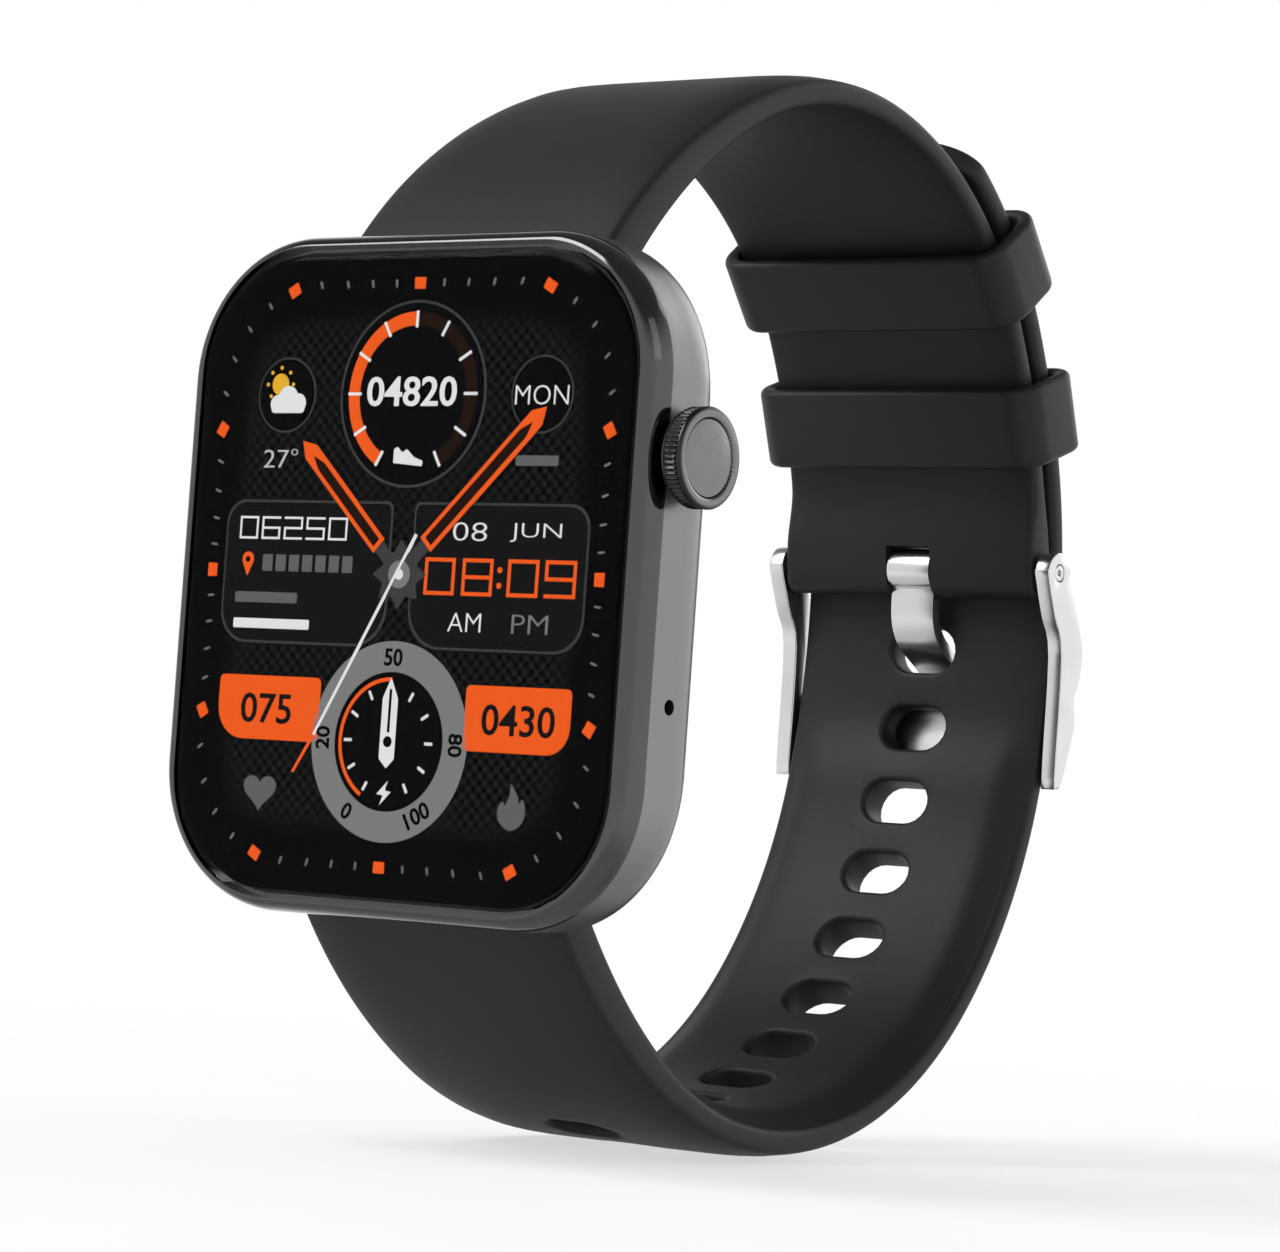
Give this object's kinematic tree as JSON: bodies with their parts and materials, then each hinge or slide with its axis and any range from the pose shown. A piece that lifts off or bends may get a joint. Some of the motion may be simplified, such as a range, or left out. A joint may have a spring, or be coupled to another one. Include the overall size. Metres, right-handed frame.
{
  "type": "smartwatch",
  "caption": "Rounded-square metal smartwatch with a touch display, a turning push crown and a buckled silicone strap held by two sliding keepers.",
  "frame": {"origin": "centre of the flat sensor window on the case back, where the watch rests on the wrist", "axes": "+Y out of the case back towards the wrist, so the display faces -Y; +Z towards twelve o'clock; +X towards the crown"},
  "size_m": [0.0411, 0.0671, 0.0745],
  "materials": {
    "case_metal": "dark plated, satin sides and polished front bevel",
    "crown_metal": "dark plated, straight knurl, satin end",
    "cover_glass": "clear polished glass with a dark border",
    "display": "lit dial behind glass",
    "strap_silicone": "matte moulded silicone",
    "buckle_steel": "bright polished steel",
    "bar_steel": "fine turned steel",
    "back_plastic": "fine spark-eroded black plastic",
    "window_glass": "tinted clear window",
    "gasket_rubber": "soft black rubber",
    "frame_plastic": "moulded black plastic",
    "foil": "crimped silver pouch foil",
    "board": "green solder mask with fine tracks",
    "chip_plastic": "moulded chip package",
    "shield_tin": "tinned sheet",
    "flex_film": "amber flexible circuit film",
    "gold_plate": "gold plated",
    "diode": "dark sensor face",
    "emitter": "pale resin over the emitter",
    "magnet_nickel": "nickel plated",
    "mesh_cloth": "fine acoustic mesh"
  },
  "bodies": {
    "case": {"case_shell": "case_metal", "cover_glass": "cover_glass", "display_gasket": "gasket_rubber", "display_panel": "display", "display_flex": "flex_film", "inner_frame": "frame_plastic", "rear_gasket": "gasket_rubber", "rear_cover": "back_plastic", "rear_screw_1": "bar_steel", "rear_screw_2": "bar_steel", "rear_screw_3": "bar_steel", "rear_screw_4": "bar_steel", "sensor_window": "window_glass", "battery": "foil", "battery_tape": "gasket_rubber", "main_board": "board", "processor": "chip_plastic", "shield_can": "shield_tin", "memory_chip": "chip_plastic", "antenna": "gold_plate", "speaker": "frame_plastic", "speaker_mesh": "mesh_cloth", "microphone": "shield_tin", "microphone_mesh": "mesh_cloth", "motor_cup": "shield_tin", "sensor_board": "board", "light_barrier": "gasket_rubber", "sensor_led_1": "emitter", "sensor_led_2": "emitter", "sensor_diode_1": "diode", "sensor_diode_2": "diode", "charge_pin_1": "gold_plate", "charge_pin_2": "gold_plate", "charge_magnet_1": "magnet_nickel", "charge_magnet_2": "magnet_nickel", "crown_o_ring": "gasket_rubber", "crown_bushing": "bar_steel", "crown_switch": "frame_plastic", "crown_flex": "flex_film", "bar_tube_6": "bar_steel", "bar_tip_6": "bar_steel", "bar_spring_6": "bar_steel", "hole_strap": "strap_silicone"},
    "motor_rotor": {"motor_rotor": "magnet_nickel"},
    "crown_slider": {"crown_yoke": "bar_steel"},
    "crown": {"crown_cap": "crown_metal", "crown_disc": "crown_metal", "crown_stem": "bar_steel"},
    "short_strap": {"buckle_strap": "strap_silicone", "bar_tube_12": "bar_steel", "bar_tip_12": "bar_steel", "bar_spring_12": "bar_steel"},
    "bar_release_12": {"bar_release_12": "bar_steel"},
    "bar_release_6": {"bar_release_6": "bar_steel"},
    "keeper_upper": {"keeper_upper": "strap_silicone"},
    "keeper_lower": {"keeper_lower": "strap_silicone"},
    "buckle_frame": {"buckle_frame": "buckle_steel", "buckle_pin": "buckle_steel"},
    "buckle_tongue": {"buckle_tongue": "buckle_steel"}
  },
  "joints": [
    {"name": "crown_push", "type": "slide", "parent": "case", "child": "crown_slider", "axis": [-1, 0, 0], "range_m": [0, 0.0005], "stiffness_N_per_m": 2000},
    {"name": "crown_turn", "type": "hinge", "parent": "crown_slider", "child": "crown", "pos_m": [0.02, -0.0078, 0.008], "axis": [1, 0, 0], "continuous": true},
    {"name": "motor_spin", "type": "hinge", "parent": "case", "child": "motor_rotor", "pos_m": [-0.0119, -0.006, -0.0109], "axis": [0, 1, 0], "continuous": true},
    {"name": "strap_swing", "type": "hinge", "parent": "case", "child": "short_strap", "pos_m": [0, -0.005, 0.0202], "axis": [1, 0, 0], "range_deg": [-6, 6], "stiffness_Nm_per_rad": 0.5, "deforming": ["hole_strap"]},
    {"name": "release_12_slide", "type": "slide", "parent": "short_strap", "child": "bar_release_12", "axis": [1, 0, 0], "range_m": [0, 0.0012], "stiffness_N_per_m": 500, "deforming": ["bar_spring_12"]},
    {"name": "release_6_slide", "type": "slide", "parent": "case", "child": "bar_release_6", "axis": [1, 0, 0], "range_m": [0, 0.0012], "stiffness_N_per_m": 500, "deforming": ["bar_spring_6"]},
    {"name": "keeper_upper_slide", "type": "hinge", "parent": "short_strap", "child": "keeper_upper", "pos_m": [0, 0.02155, 0.01088], "axis": [1, 0, 0], "range_deg": [0, 34]},
    {"name": "keeper_lower_slide", "type": "hinge", "parent": "short_strap", "child": "keeper_lower", "pos_m": [0, 0.00186, -0.00022], "axis": [1, 0, 0], "range_deg": [-1.8, 4.5]},
    {"name": "buckle_frame_turn", "type": "hinge", "parent": "short_strap", "child": "buckle_frame", "pos_m": [0, 0.04915, 0.0056], "axis": [1, 0, 0], "range_deg": [0, 7]},
    {"name": "tongue_turn", "type": "hinge", "parent": "buckle_frame", "child": "buckle_tongue", "pos_m": [0, 0.04915, 0.0056], "axis": [1, 0, 0], "range_deg": [0, 5]}
  ]
}
